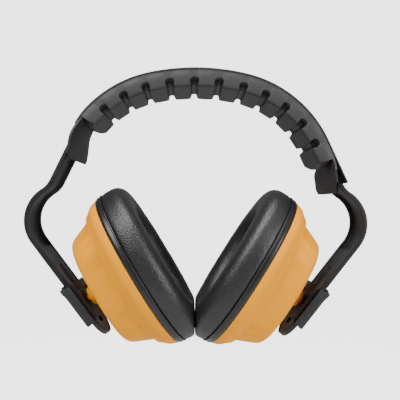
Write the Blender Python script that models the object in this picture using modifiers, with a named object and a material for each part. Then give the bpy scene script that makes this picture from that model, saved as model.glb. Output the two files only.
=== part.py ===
"""Earmuff hearing protector: a sprung headband with a padded sleeve, two sliders on its slotted legs, and
two ear cups on ball studs. Metres, +Z up, X across the head, Y front to back. The origin is the middle of
the pad's underside, where the crown of the head sits."""

import math

import bmesh
import bpy
from mathutils import Matrix, Vector

MM = 0.001
GAP = 0.3 * MM
SIDES = {"left": -1, "right": 1}

# Headband: outer line from the crown out to one leg's tip, as (length, turn in degrees) runs.
BAND_TOP = 9.0 * MM
BAND_WIDTH = 25.0 * MM
BAND_THICKNESS = 3.0 * MM
BAND_WEB = 1.0 * MM
BAND_RAIL = 2.2 * MM
CROWN_RADIUS, CROWN_TURN = 121.0 * MM, 12.8
TEMPLE_RADIUS, TEMPLE_TURN = 65.0 * MM, 51.7
TEMPLE_STRAIGHT = 25.0 * MM
FLARE_RADIUS, FLARE_TURN = 12.7 * MM, 31.5
SHOULDER_RADIUS, SHOULDER_TURN = 21.0 * MM, 94.5
LEG_LENGTH = 66.5 * MM
LEG_FLOOR_START, LEG_FLOOR_END = 2.0 * MM, 7.0 * MM
LEG_FLOOR_RECESS = 0.25 * MM
TIP_ROUNDING = 12.5 * MM
TIP_FLAT = 3.5 * MM
SLOT_START, SLOT_END = 17.5 * MM, 59.5 * MM
SLOT_WIDTH = 7.0 * MM

# Sleeve: a thin cover over the band and a padded skin under it, both running out into flat end flaps.
PAD_START, PAD_END = -71.8 * MM, 96.2 * MM
COVER_START, COVER_END = -77.0 * MM, 111.0 * MM
FLAP_START, FLAP_END = -95.0 * MM, 112.0 * MM
SHEET = 0.8 * MM
PAD_HALF_WIDTH = 18.5 * MM
PAD_DEPTH = BAND_TOP
PAD_ROUNDING = 3.0 * MM
FLAP_HALF_WIDTH = 25.0 * MM
FLAP_FOLD_LENGTH = 6.0 * MM
FLAP_DEPTH = 4.6 * MM
FLAP_TIP_DEPTH = {-1: 6.6 * MM, 1: 8.0 * MM}

# Slider: measured from the point of the leg's outer line level with the ball.
BALL_ALONG_LEG = 43.5 * MM
BALL_DEPTH = 2.4 * MM
SLIDER_TOP, SLIDER_BOTTOM = -12.4 * MM, 12.3 * MM
SLIDER_HALF_WIDTH = 14.6 * MM
SLIDER_WALL = 2.1 * MM
SLIDER_LIP = 2.8 * MM
SLIDER_LIP_LENGTH = 6.5 * MM
SLIDER_EDGE = 3.5 * MM
PLATE_THICKNESS = 0.9 * MM
STEP_HEIGHT, STEP_END = 2.1 * MM, -6.9 * MM
LUG_LENGTH = 3.6 * MM
LUG_DEPTH = 2.2 * MM
LUG_DISTANCE = 5.6 * MM
SOCKET_RISE = 1.9 * MM
SOCKET_BASE_RADIUS, SOCKET_TOP_RADIUS = 6.6 * MM, 4.3 * MM

# Ball stud, along the cup's own axis from the ball's centre.
BALL_RADIUS = 2.6 * MM
NECK_RADIUS = 1.5 * MM
STUD_HEAD_RADIUS = 3.4 * MM
STUD_HEAD_START, STUD_HEAD_END = 5.2 * MM, 6.4 * MM

# Ear cup: levels run from the ball's centre towards the head, half sizes are (along, across).
CUP_ANGLE = 31.5
CUP_CENTRE = 1.0 * MM
BOSS_RADIUS = 5.4 * MM
BOSS_BORE = 4.4 * MM
BOSS_HOLE = 2.7 * MM
BOSS_TOP, BOSS_ROOF = 3.5 * MM, 4.6 * MM
BOSS_EDGE = 0.8 * MM
DOME_TOP = 10.2 * MM
DOME_CROWN = 1.7 * MM
DOME_EDGE = 0.7 * MM
DOME_CORNER = 2.2 * MM
DOME_STEP = 25.8 * MM
CUP_MOUTH = 36.0 * MM
CUP_WALL = 2.0 * MM
PLATE_FACE = 39.0 * MM
PLATE_OPENING = (29.0 * MM, 21.0 * MM)
CUSHION_SIZE = (48.0 * MM, 40.0 * MM)
CUSHION_BASE = 39.3 * MM
CUSHION_SHOULDER = 42.0 * MM
CUSHION_SIDE = 48.0 * MM
CUSHION_CREST = 52.8 * MM
CUSHION_WIDTH = 21.0 * MM
CUSHION_PEAK = 12.0 * MM
CUSHION_FLAT = 3.0 * MM
CONTACT_START, CONTACT_END = 4.0 * MM, 28.0 * MM
CONTACT_SLACK = 8.0 * MM
SKIN = 1.0 * MM
BACKING = 1.0 * MM
BACKING_INSET = 0.6 * MM
RING_POINTS = 32
OVAL_POWER = 2.2

BLACK_PLASTIC = ("black_plastic", (0.028, 0.028, 0.030, 1), 0.42)
GREY_VINYL = ("grey_vinyl", (0.050, 0.050, 0.053, 1), 0.55)
CUSHION_VINYL = ("cushion_vinyl", (0.040, 0.040, 0.042, 1), 0.38)
DARK_FOAM = ("dark_foam", (0.022, 0.022, 0.024, 1), 0.95)
YELLOW_PLASTIC = ("yellow_plastic", (1.0, 0.36, 0.0, 1), 0.38)


def clear_scene():
    for obj in list(bpy.data.objects):
        bpy.data.objects.remove(obj, do_unlink=True)


def collection(name, hidden=False):
    made = bpy.data.collections.new(name)
    bpy.context.scene.collection.children.link(made)
    made.hide_render = hidden
    return made


def material(spec):
    name, colour, roughness = spec
    found = bpy.data.materials.get(name)
    if found:
        return found
    made = bpy.data.materials.new(name)
    made.use_nodes = True
    shader = made.node_tree.nodes["Principled BSDF"]
    shader.inputs["Base Color"].default_value = colour
    shader.inputs["Roughness"].default_value = roughness
    shader.inputs["Metallic"].default_value = 0.0
    made.diffuse_color = colour
    return made


def add_object(name, mesh, spec, place=None, parent=None):
    """A part from a mesh, in the parts collection."""
    obj = bpy.data.objects.new(name, mesh)
    parts.objects.link(obj)
    mesh.materials.append(material(spec))
    mesh.shade_smooth()
    mesh.set_sharp_from_angle(angle=math.radians(35))
    obj.parent = parent
    if place is not None:
        obj.matrix_basis = place
    return obj


def add_cutter(name, mesh, place=None):
    obj = bpy.data.objects.new(name, mesh)
    cutters.objects.link(obj)
    obj.hide_render = True
    obj.display_type = "WIRE"
    if place is not None:
        obj.matrix_basis = place
    return obj


def combine(obj, tool, operation="DIFFERENCE"):
    modifier = obj.modifiers.new(tool.name, "BOOLEAN")
    modifier.operation = operation
    modifier.object = tool
    modifier.solver = "EXACT"


def loft_mesh(name, rings, closed=False):
    """A skin over rings of equal point counts, joined end to end when closed and capped when not."""
    build = bmesh.new()
    rows = [[build.verts.new(point) for point in ring] for ring in rings]
    spans = list(zip(rows, rows[1:]))
    if closed:
        spans.append((rows[-1], rows[0]))
    for low, high in spans:
        for i in range(len(low)):
            j = (i + 1) % len(low)
            build.faces.new((low[i], low[j], high[j], high[i]))
    if not closed:
        build.faces.new(rows[0])
        build.faces.new(rows[-1])
    bmesh.ops.recalc_face_normals(build, faces=build.faces)
    mesh = bpy.data.meshes.new(name)
    build.to_mesh(mesh)
    build.free()
    return mesh


def outline_mesh(name, points, half_depth):
    """A flat outline in XY, extruded along Z by half_depth each way, as a closed mesh."""
    curve = bpy.data.curves.new(name, "CURVE")
    curve.dimensions = "2D"
    curve.fill_mode = "BOTH"
    curve.extrude = half_depth
    spline = curve.splines.new("POLY")
    spline.points.add(len(points) - 1)
    for target, (x, y) in zip(spline.points, points):
        target.co = (x, y, 0, 1)
    spline.use_cyclic_u = True
    holder = bpy.data.objects.new(name, curve)
    cutters.objects.link(holder)
    graph = bpy.context.evaluated_depsgraph_get()
    mesh = bpy.data.meshes.new_from_object(holder.evaluated_get(graph))
    bpy.data.objects.remove(holder, do_unlink=True)
    build = bmesh.new()
    build.from_mesh(mesh)
    bmesh.ops.remove_doubles(build, verts=build.verts, dist=0.01 * MM)
    bmesh.ops.recalc_face_normals(build, faces=build.faces)
    build.to_mesh(mesh)
    build.free()
    mesh.name = name
    return mesh


def box_mesh(name, low, high):
    build = bmesh.new()
    low, high = Vector(low), Vector(high)
    size = high - low
    stretch = Matrix.Diagonal((size.x, size.y, size.z, 1))
    bmesh.ops.create_cube(build, size=1, matrix=Matrix.Translation((low + high) / 2) @ stretch)
    mesh = bpy.data.meshes.new(name)
    build.to_mesh(mesh)
    build.free()
    return mesh


def cone_mesh(name, base_radius, top_radius, low, high, segments=32):
    build = bmesh.new()
    bmesh.ops.create_cone(
        build, cap_ends=True, segments=segments, radius1=base_radius, radius2=top_radius,
        depth=high - low, matrix=Matrix.Translation((0, 0, (low + high) / 2)))
    mesh = bpy.data.meshes.new(name)
    build.to_mesh(mesh)
    build.free()
    return mesh


def ball_mesh(name, radius):
    build = bmesh.new()
    bmesh.ops.create_uvsphere(build, u_segments=24, v_segments=12, radius=radius)
    mesh = bpy.data.meshes.new(name)
    build.to_mesh(mesh)
    build.free()
    return mesh


def arc_run(radius, turn):
    return radius * math.radians(abs(turn)), turn


BAND_RUNS = (
    arc_run(CROWN_RADIUS, CROWN_TURN),
    arc_run(TEMPLE_RADIUS, TEMPLE_TURN),
    (TEMPLE_STRAIGHT, 0.0),
    arc_run(FLARE_RADIUS, -FLARE_TURN),
    arc_run(SHOULDER_RADIUS, SHOULDER_TURN),
    (LEG_LENGTH, 0.0),
)
BAND_HALF_LENGTH = sum(length for length, _ in BAND_RUNS)
LEG_START = BAND_HALF_LENGTH - LEG_LENGTH


def band_frame(along):
    """Point on the band's outer line at a signed distance from the crown, with the directions
    outwards along the band and inwards through it."""
    side = -1 if along < 0 else 1
    left = abs(along)
    x, z, heading = 0.0, BAND_TOP, 0.0
    for length, turn in BAND_RUNS:
        run = min(left, length)
        bend = math.radians(turn) * run / length
        chord = run if bend == 0 else run * math.sin(bend / 2) / (bend / 2)
        x += chord * math.cos(heading + bend / 2)
        z -= chord * math.sin(heading + bend / 2)
        heading += bend
        left -= run
    point = Vector((side * x, 0, z))
    outwards = Vector((side * math.cos(heading), 0, -math.sin(heading)))
    inwards = Vector((-side * math.sin(heading), 0, -math.cos(heading)))
    return point, outwards, inwards


def sweep_mesh(name, stations, section):
    """A loft along the band. section(along) gives its outline as (across, depth) points."""
    rings = []
    for along in stations:
        point, _, inwards = band_frame(along)
        across = Vector((0, 1, 0))
        rings.append([point + across * y + inwards * depth for y, depth in section(along)])
    return loft_mesh(name, rings)


def spread(start, end, step):
    count = max(1, math.ceil((end - start) / step))
    return [start + (end - start) * i / count for i in range(count + 1)]


def blend(value, start, end, low, high):
    """low before start, high after end, and a smooth rise between."""
    t = min(1.0, max(0.0, (value - start) / (end - start)))
    t = t * t * (3 - 2 * t)
    return low + (high - low) * t


def leg_frame(side):
    """Axes of one leg: X down the leg, Z inwards, at the outer line's point level with the ball."""
    point, down, inwards = band_frame(side * (LEG_START + BALL_ALONG_LEG))
    across = inwards.cross(down)
    turn = Matrix((down, across, inwards)).transposed().to_4x4()
    return Matrix.Translation(point) @ turn


def cup_frame(side):
    """Axes of one ear cup: X down its long axis, Z towards the head, at the ball's centre."""
    angle = math.radians(CUP_ANGLE)
    down = Vector((-side * math.sin(angle), 0, -math.cos(angle)))
    inwards = Vector((-side * math.cos(angle), 0, math.sin(angle)))
    turn = Matrix((down, inwards.cross(down), inwards)).transposed().to_4x4()
    ball = leg_frame(side) @ Vector((0, 0, BALL_DEPTH))
    return Matrix.Translation(ball) @ turn


def band_section(along):
    """A channel open towards the head, filled almost flush along the legs and narrowed round their tips."""
    leg = abs(along) - LEG_START
    floor = blend(leg, LEG_FLOOR_START, LEG_FLOOR_END, BAND_WEB, BAND_THICKNESS - LEG_FLOOR_RECESS)
    half = BAND_WIDTH / 2
    past = leg - (LEG_LENGTH - TIP_ROUNDING)
    if past > 0:
        half = max(TIP_FLAT, math.sqrt(max(0.0, half ** 2 - past ** 2)))
    rib = half - min(BAND_RAIL, half * 0.4)
    return [(-half, 0), (half, 0), (half, BAND_THICKNESS), (rib, BAND_THICKNESS), (rib, floor),
            (-rib, floor), (-rib, BAND_THICKNESS), (-half, BAND_THICKNESS)]


def band_stations():
    marks = [0.0]
    for length, turn in BAND_RUNS[:-1]:
        step = length if turn == 0 else length / math.ceil(abs(turn) / 7)
        marks += spread(marks[-1], marks[-1] + length, step)[1:]
    leg = [0.5 * LEG_FLOOR_END, LEG_FLOOR_END, LEG_LENGTH - TIP_ROUNDING]
    rounding = [math.sin(math.radians(a)) * TIP_ROUNDING for a in (18, 36, 52, 66, 78, 90)]
    leg += [LEG_LENGTH - TIP_ROUNDING + r for r in rounding]
    marks += [LEG_START + along for along in leg]
    return [-m for m in reversed(marks[1:])] + marks


def stadium(start, end, width, steps=8):
    """Outline of a slot with round ends, along X."""
    radius = width / 2
    points = []
    for centre, first in ((end - radius, -90), (start + radius, 90)):
        for i in range(steps + 1):
            angle = math.radians(first + 180 * i / steps)
            points.append((centre + radius * math.cos(angle), radius * math.sin(angle)))
    return points


def make_headband():
    band = add_object("headband", sweep_mesh("headband", band_stations(), band_section), BLACK_PLASTIC)
    for name, side in SIDES.items():
        outline = stadium(SLOT_START - BALL_ALONG_LEG, SLOT_END - BALL_ALONG_LEG, SLOT_WIDTH)
        slot = outline_mesh(f"{name}_slot_cutter", outline, 3 * BAND_THICKNESS)
        combine(band, add_cutter(f"{name}_slot_cutter", slot, leg_frame(side)))
    return band


def cover_section(_):
    outside, inside = -GAP - SHEET, -GAP
    half = PAD_HALF_WIDTH
    return [(-half, outside), (half, outside), (half, inside), (-half, inside)]


def pad_profile(along):
    """Depth, half width of the floor, wall length and wall angle of the padded skin at one place."""
    side = -1 if along < 0 else 1
    end, tip = (PAD_END, FLAP_END) if side > 0 else (-PAD_START, -FLAP_START)
    past = abs(along) - end
    depth = blend(past, -PAD_ROUNDING, 0.6 * PAD_ROUNDING, PAD_DEPTH, FLAP_DEPTH)
    if past > 0:
        depth += (FLAP_TIP_DEPTH[side] - FLAP_DEPTH) * past / (tip - end)
    fold = blend(past, 0, FLAP_FOLD_LENGTH, 0, 1)
    half = PAD_HALF_WIDTH + (FLAP_HALF_WIDTH / 2 - PAD_HALF_WIDTH) * fold
    wall = depth - GAP + (FLAP_HALF_WIDTH / 2 - depth + GAP) * fold
    rise = (depth - GAP) * (1 - fold)
    return depth, half, wall, math.asin(min(1.0, rise / wall))


def pad_section(along):
    depth, half, wall, angle = pad_profile(along)
    tip_y, tip_depth = half + wall * math.cos(angle), depth - wall * math.sin(angle)
    inner_tip = (tip_y - SHEET * math.sin(angle), tip_depth - SHEET * math.cos(angle))
    inner_corner = (half - SHEET * math.tan(angle / 2), depth - SHEET)
    right = [(half, depth), (tip_y, tip_depth), inner_tip, inner_corner]
    return right + [(-y, d) for y, d in reversed(right)]


def foam_section(_):
    top = BAND_THICKNESS + GAP
    bottom = PAD_DEPTH - SHEET - GAP
    half = PAD_HALF_WIDTH - SHEET - GAP
    return [(-half, top), (half, top), (half, bottom), (-half, bottom)]


def make_sleeve():
    cover = spread(COVER_START, COVER_END, 6 * MM)
    add_object("sleeve_cover", sweep_mesh("sleeve_cover", cover, cover_section), GREY_VINYL)
    skin = spread(FLAP_START, PAD_START - FLAP_FOLD_LENGTH, 6 * MM)
    skin += spread(PAD_START - FLAP_FOLD_LENGTH, PAD_START + PAD_ROUNDING, 1.5 * MM)[1:]
    skin += spread(PAD_START + PAD_ROUNDING, PAD_END - PAD_ROUNDING, 6 * MM)[1:]
    skin += spread(PAD_END - PAD_ROUNDING, PAD_END + FLAP_FOLD_LENGTH, 1.5 * MM)[1:]
    skin += spread(PAD_END + FLAP_FOLD_LENGTH, FLAP_END, 5 * MM)[1:]
    add_object("sleeve_pad_skin", sweep_mesh("sleeve_pad_skin", skin, pad_section), GREY_VINYL)
    foam = spread(PAD_START + PAD_ROUNDING + MM, PAD_END - PAD_ROUNDING - MM, 7 * MM)
    add_object("sleeve_foam", sweep_mesh("sleeve_foam", foam, foam_section), DARK_FOAM)


def make_slider_clip(name, frame, parent):
    """Outer half of the slider: a channel round the leg with a flared thumb lip at its upper end."""
    outer = -GAP - SLIDER_WALL
    profile = [(SLIDER_BOTTOM, outer), (SLIDER_BOTTOM, SLIDER_EDGE), (SLIDER_TOP, SLIDER_EDGE),
               (SLIDER_TOP, outer - 0.8 * SLIDER_LIP), (SLIDER_TOP + 0.8 * MM, outer - SLIDER_LIP),
               (SLIDER_TOP + SLIDER_LIP_LENGTH / 2, outer - 0.55 * SLIDER_LIP),
               (SLIDER_TOP + SLIDER_LIP_LENGTH, outer)]
    mesh = outline_mesh(f"{name}_slider_clip", profile, SLIDER_HALF_WIDTH)
    mesh.transform(Matrix.Rotation(math.radians(90), 4, "X"))
    clip = add_object(f"{name}_slider_clip", mesh, BLACK_PLASTIC, parent=parent)
    half = BAND_WIDTH / 2 + GAP
    channel = box_mesh(f"{name}_channel_cutter", (-30 * MM, -half, -GAP), (30 * MM, half, 10 * MM))
    combine(clip, add_cutter(f"{name}_channel_cutter", channel, frame))
    bevel = clip.modifiers.new("edges", "BEVEL")
    bevel.width = 0.35 * MM
    bevel.segments = 1
    bevel.limit_method = "ANGLE"
    bevel.angle_limit = math.radians(50)
    return clip


def make_socket_plate(name, frame, cup, parent):
    """Inner half of the slider: a stepped plate over the slot, with guide lugs and the ball's socket."""
    low = BAND_THICKNESS + GAP
    half = BAND_WIDTH / 2
    mesh = box_mesh(f"{name}_socket_plate", (SLIDER_TOP + 0.5 * MM, -half, low),
                    (SLIDER_BOTTOM - 0.5 * MM, half, low + PLATE_THICKNESS))
    plate = add_object(f"{name}_socket_plate", mesh, BLACK_PLASTIC, parent=parent)
    lug_half = SLOT_WIDTH / 2 - GAP
    for end, near in (("upper", -LUG_DISTANCE - LUG_LENGTH), ("lower", LUG_DISTANCE)):
        lug = box_mesh(f"{name}_{end}_lug", (near, -lug_half, low - LUG_DEPTH),
                       (near + LUG_LENGTH, lug_half, low + PLATE_THICKNESS / 2))
        combine(plate, add_cutter(f"{name}_{end}_lug", lug, frame), "UNION")
    step = box_mesh(f"{name}_step", (SLIDER_TOP + 0.5 * MM, -half, low + PLATE_THICKNESS / 2),
                    (STEP_END, half, low + STEP_HEIGHT))
    combine(plate, add_cutter(f"{name}_step", step, frame), "UNION")
    tower = cone_mesh(f"{name}_socket_tower", SOCKET_BASE_RADIUS, SOCKET_TOP_RADIUS, 1.2 * MM, SOCKET_RISE)
    combine(plate, add_cutter(f"{name}_socket_tower", tower, cup), "UNION")
    seat = ball_mesh(f"{name}_seat_cutter", BALL_RADIUS + 0.1 * MM)
    combine(plate, add_cutter(f"{name}_seat_cutter", seat, cup))
    mouth = cone_mesh(f"{name}_mouth_cutter", 0.86 * BALL_RADIUS, 0.95 * BALL_RADIUS, 0, 2 * SOCKET_RISE, 24)
    combine(plate, add_cutter(f"{name}_mouth_cutter", mouth, cup))
    return plate


def make_ball_stud(name, parent):
    """A turned stud: its ball snaps into the slider and its head is held inside the cup's boss."""
    profile = [(0, STUD_HEAD_END), (STUD_HEAD_RADIUS - 0.5 * MM, STUD_HEAD_END),
               (STUD_HEAD_RADIUS, STUD_HEAD_END - 0.5 * MM), (STUD_HEAD_RADIUS, STUD_HEAD_START),
               (NECK_RADIUS, STUD_HEAD_START)]
    first = math.asin(NECK_RADIUS / BALL_RADIUS)
    for i in range(7):
        angle = first + (math.pi - first) * i / 6
        profile.append((BALL_RADIUS * math.sin(angle), BALL_RADIUS * math.cos(angle)))
    build = bmesh.new()
    points = [build.verts.new((max(0.0, r), 0, z)) for r, z in profile]
    for upper, lower in zip(points, points[1:]):
        build.edges.new((upper, lower))
    mesh = bpy.data.meshes.new(f"{name}_ball_stud")
    build.to_mesh(mesh)
    build.free()
    stud = add_object(f"{name}_ball_stud", mesh, YELLOW_PLASTIC, parent=parent)
    turn = stud.modifiers.new("turn", "SCREW")
    turn.steps = turn.render_steps = 20
    turn.use_merge_vertices = True
    turn.merge_threshold = 0.00001
    turn.use_smooth_shade = True
    return stud


def oval_radius(half, angle):
    along, across = half
    total = (abs(math.cos(angle)) / along) ** OVAL_POWER + (abs(math.sin(angle)) / across) ** OVAL_POWER
    return total ** (-1 / OVAL_POWER)


def dome_radius(half, angle):
    """An outline of four arcs: two long sides and two rounder ends that meet them at faint corners."""
    along, across = half
    corner = 0.83 * across
    x, y = abs(math.cos(angle)), abs(math.sin(angle))
    if x > y:
        rise, reach, peak = x, y, along
    else:
        rise, reach, peak = y, x, across
    sagitta = peak - corner
    radius = (corner ** 2 + sagitta ** 2) / (2 * sagitta)
    centre = peak - radius
    return rise * centre + math.sqrt(radius ** 2 - (reach * centre) ** 2)


def ring(level, half, outline=oval_radius, centre=CUP_CENTRE):
    points = []
    for i in range(RING_POINTS):
        angle = 2 * math.pi * i / RING_POINTS
        radius = outline(half, angle)
        points.append(Vector((centre + radius * math.cos(angle), radius * math.sin(angle), level)))
    return points


def round_ring(level, radius):
    return ring(level, (radius, radius), lambda half, _: half[0], 0.0)


def dome_ring(level, along, across):
    return ring(level, (along * MM, across * MM), dome_radius)


def oval_ring(level, along, across):
    return ring(level, (along * MM, across * MM))


def make_cup_shell(name, parent):
    """The cup: hollow boss, domed outer face, drafted sides, rounded rim and a hollow inside."""
    crown = DOME_TOP - DOME_CROWN
    rings = [
        round_ring(DOME_TOP + CUP_WALL, BOSS_BORE), round_ring(BOSS_ROOF, BOSS_BORE),
        round_ring(BOSS_ROOF, BOSS_HOLE), round_ring(BOSS_TOP, BOSS_HOLE),
        round_ring(BOSS_TOP, BOSS_RADIUS - BOSS_EDGE), round_ring(BOSS_TOP + BOSS_EDGE, BOSS_RADIUS),
        round_ring(crown - BOSS_EDGE, BOSS_RADIUS), round_ring(crown, BOSS_RADIUS + BOSS_EDGE),
        dome_ring(crown + 0.2 * DOME_CROWN, 14, 11), dome_ring(crown + 0.55 * DOME_CROWN, 23, 18),
        dome_ring(DOME_TOP + DOME_EDGE, 31.6, 24.8), dome_ring(DOME_TOP + DOME_CORNER, 33.6, 26.6),
        dome_ring(DOME_STEP, 39.3, 32),
        oval_ring(DOME_STEP + 0.7 * MM, 41.6, 34.2), oval_ring(28.0 * MM, 44.0, 36.4),
        oval_ring(31.0 * MM, 46.3, 38.6), oval_ring(CUP_MOUTH, 47.0, 39.2),
        oval_ring(CUP_MOUTH, 44.6, 36.8), oval_ring(31.5 * MM, 43.6, 35.8),
        dome_ring(28.2 * MM, 37.8, 30.4), dome_ring(DOME_TOP + 4.0 * MM, 32.0, 24.9),
        dome_ring(DOME_TOP + CUP_WALL + 0.6 * MM, 29.6, 22.8),
        dome_ring(DOME_TOP + CUP_WALL, 22, 17),
    ]
    return add_object(f"{name}_cup_shell", loft_mesh(f"{name}_cup_shell", rings, True), YELLOW_PLASTIC,
                      parent=parent)


def make_seal_plate(name, parent):
    """The black plate that closes the cup's mouth round the ear opening, with a locating lip."""
    low = CUP_MOUTH + GAP
    lip = CUP_MOUTH - 1.6 * MM
    rings = [
        oval_ring(low, 47.3, 39.5), oval_ring(low + 0.7 * MM, 47.8, 40.0), oval_ring(PLATE_FACE, 47.6, 39.8),
        ring(PLATE_FACE, PLATE_OPENING), ring(low, PLATE_OPENING), oval_ring(low, 42.6, 34.8),
        oval_ring(lip, 42.6, 34.8), oval_ring(lip, 44.2, 36.4), oval_ring(low, 44.2, 36.4),
    ]
    return add_object(f"{name}_seal_plate", loft_mesh(f"{name}_seal_plate", rings, True), BLACK_PLASTIC,
                      parent=parent)


def cushion_outline(inset, base):
    """Cross-section of the cushion as (distance in from the outer edge, level), inset by some amount."""
    rise = CUSHION_CREST - CUSHION_SIDE - inset
    points = [(inset, base), (inset, CUSHION_SHOULDER)]
    for side, edge in ((-1, 0.0), (1, CUSHION_WIDTH)):
        flat_end = CUSHION_PEAK + side * CUSHION_FLAT
        reach = abs(edge - flat_end) - inset
        angles = [0, 30, 60, 90] if side < 0 else [90, 60, 30, 0]
        for angle in map(math.radians, angles):
            height = CUSHION_SIDE + rise * math.sin(angle) ** 0.8
            points.append((flat_end + side * reach * math.cos(angle), height))
    points.append((CUSHION_WIDTH - inset, base))
    return points


def pressed(points, inset, frame):
    """Points of the lower end kept inside the ball round the pivot that just misses the other cup."""
    limit = abs(frame.translation.x) - GAP / 2 - inset
    kept = []
    for point in points:
        slack = blend(point.x, CONTACT_START, CONTACT_END, CONTACT_SLACK, 0)
        kept.append(point * min(1.0, (limit + slack) / point.length))
    return kept


def cushion_rings(outline, inset, frame):
    along, across = CUSHION_SIZE
    return [pressed(ring(level, (along - e, across - e)), inset, frame) for e, level in outline]


def make_cushion(name, frame, parent):
    """The ear cushion: a skin over a foam ring, on a stiff backing ring."""
    outside = cushion_rings(cushion_outline(0, CUSHION_BASE), 0, frame)
    inside = cushion_rings(cushion_outline(SKIN, CUSHION_BASE), SKIN, frame)
    mesh = loft_mesh(f"{name}_cushion_skin", outside + inside[::-1], True)
    add_object(f"{name}_cushion_skin", mesh, CUSHION_VINYL, parent=parent)
    clear = SKIN + 3 * GAP
    foam_base = CUSHION_BASE + BACKING + 3 * GAP
    foam = cushion_rings(cushion_outline(clear, foam_base), clear, frame)
    add_object(f"{name}_cushion_foam", loft_mesh(f"{name}_cushion_foam", foam, True), DARK_FOAM, parent=parent)
    outer, inner = clear + BACKING_INSET, CUSHION_WIDTH - clear
    edges = [(outer, CUSHION_BASE), (outer, CUSHION_BASE + BACKING),
             (inner, CUSHION_BASE + BACKING), (inner, CUSHION_BASE)]
    backing = cushion_rings(edges, clear, frame)
    add_object(f"{name}_cushion_backing", loft_mesh(f"{name}_cushion_backing", backing, True), BLACK_PLASTIC,
               parent=parent)


def make_acoustic_foam(name, parent):
    """A foam bowl that lines the cup and damps sound."""
    low = DOME_TOP + CUP_WALL + 0.9 * MM
    rings = [
        dome_ring(low, 27.5, 21.0), dome_ring(low + 1.8 * MM, 30.9, 23.8), dome_ring(27.0 * MM, 36.4, 29.0),
        oval_ring(35.8 * MM, 36.8, 29.2), oval_ring(35.8 * MM, 30.0, 22.2), oval_ring(25.0 * MM, 28.0, 20.4),
        oval_ring(22.5 * MM, 25.0, 17.6),
    ]
    return add_object(f"{name}_acoustic_foam", loft_mesh(f"{name}_acoustic_foam", rings), DARK_FOAM,
                      parent=parent)


def add_empty(name, place, parent=None):
    empty = bpy.data.objects.new(name, None)
    empty.empty_display_size = 10 * MM
    parts.objects.link(empty)
    empty.parent = parent
    empty.matrix_basis = place if parent is None else parent.matrix_basis.inverted() @ place
    return empty


def make_side(name, side):
    """Everything that one leg carries: the slider on the leg, the stud in it and the cup on the stud."""
    leg, cup = leg_frame(side), cup_frame(side)
    slide = add_empty(f"{name}_slide", leg)
    make_slider_clip(name, leg, slide)
    make_socket_plate(name, leg, cup, slide)
    pivot = add_empty(f"{name}_ball_pivot", cup, slide)
    make_ball_stud(name, pivot)
    make_cup_shell(name, pivot)
    make_seal_plate(name, pivot)
    make_cushion(name, cup, pivot)
    make_acoustic_foam(name, pivot)


clear_scene()
parts = collection("earmuff")
cutters = collection("cutters", hidden=True)
make_headband()
make_sleeve()
for side_name, side_sign in SIDES.items():
    make_side(side_name, side_sign)
bpy.context.view_layer.update()
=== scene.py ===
import math

import bmesh
import bpy
from mathutils import Matrix, Quaternion, Vector, noise


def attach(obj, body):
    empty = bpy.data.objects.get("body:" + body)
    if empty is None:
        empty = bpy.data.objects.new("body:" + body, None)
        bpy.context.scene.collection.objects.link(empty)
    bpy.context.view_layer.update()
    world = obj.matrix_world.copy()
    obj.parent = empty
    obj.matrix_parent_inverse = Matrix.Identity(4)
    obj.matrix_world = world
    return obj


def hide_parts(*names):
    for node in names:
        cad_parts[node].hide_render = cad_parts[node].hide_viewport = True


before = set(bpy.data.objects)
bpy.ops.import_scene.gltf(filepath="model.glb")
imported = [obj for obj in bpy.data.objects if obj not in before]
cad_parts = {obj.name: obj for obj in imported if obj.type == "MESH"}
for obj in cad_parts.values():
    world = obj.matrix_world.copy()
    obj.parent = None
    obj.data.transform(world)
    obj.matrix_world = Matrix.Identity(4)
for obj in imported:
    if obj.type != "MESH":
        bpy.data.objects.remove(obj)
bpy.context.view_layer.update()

MM = 0.001
SIDES = {"left": -1, "right": 1}


def arc(turn, radius):
    """A bend of the band's line, as (length, turn in degrees)."""
    return radius * math.radians(abs(turn)), turn


# Sizes are in millimetres and angles in degrees, down to the stage.
# Headband: outer line from the crown to a leg's tip, as (length, turn) runs, and its section.
BAND_TOP = 9.0
LEG_LENGTH = 66.5
BAND_RUNS = (arc(12.8, 121.0), arc(51.7, 65.0), (25.0, 0.0), arc(-31.5, 12.7), arc(94.5, 21.0),
             (LEG_LENGTH, 0.0))
BAND_HALF = 12.5
BAND_THICK = 3.0
BAND_FLOOR = 1.0
LEG_RECESS = 0.25
RAIL = 2.2
TIP_HALF = 2.2
TIP_ROUNDING = 12.5
SLOT_START, SLOT_END, SLOT_WIDTH = 17.5, 59.5, 7.0
TOOTH_PITCH, TOOTH_DEPTH = 1.6, 0.38

# Sleeve, along the outer line.
PAD_START, PAD_END = -71.8, 96.2
PAD_HALF = 18.4
PAD_TOP = -0.2
SKIN = 0.8
SKIN_CEILING, BAND_CLEAR = 3.25, 3.4
PAD_END_REACH, PAD_END_RUN, PAD_END_BOW = 2.6, 9, 3.0
COVER_START, COVER_END = -76.8, 111.0
COVER_OVERHANG = 0.45
COVER_OUTSIDE, COVER_CROWN = -1.1, -1.28
COVER_INSIDE, COVER_HOLLOW = -0.25, -0.32
COVER_TAIL, COVER_TAIL_NARROWING = 8, 1.9

# Grooves across the pad: half-round at the top of the pad's side and open to its underside.
GROOVE_PITCH, GROOVE_MIDDLE, GROOVES = 14.32, 12.2, 11
GROOVE_RADIUS, GROOVE_CENTRE = 2.2, 6.4
GROOVE_DEPTH = 5.0
GROOVE_FLOOR = 7.4
BLOCK_CROWN = 0.35

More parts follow.
